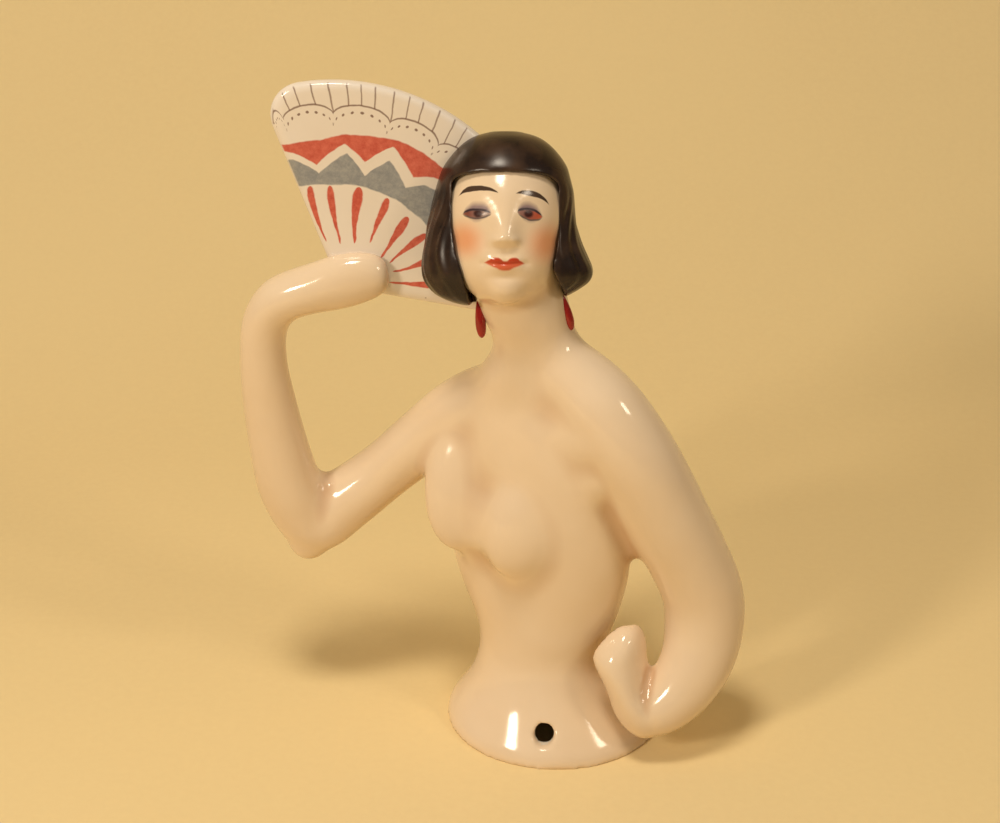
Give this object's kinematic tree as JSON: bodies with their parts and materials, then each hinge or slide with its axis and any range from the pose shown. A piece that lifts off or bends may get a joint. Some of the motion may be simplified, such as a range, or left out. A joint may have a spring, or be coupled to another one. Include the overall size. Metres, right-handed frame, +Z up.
{
  "type": "porcelain half doll",
  "caption": "Glazed porcelain half doll: a bobbed lady to the waist on a flared oval hem, one hand on her hip, the other holding a painted open fan behind her head.",
  "frame": {"origin": "on the surface it stands on, under the middle of the whole doll's width and depth", "axes": "+Z up to the head and fan, -Y to the front of the hem and face, -X to her raised right arm with the fan"},
  "size_m": [0.0831, 0.0342, 0.1124],
  "materials": {
    "porcelain": "gloss"
  },
  "bodies": {
    "root": {"half_doll": "porcelain"}
  },
  "joints": []
}
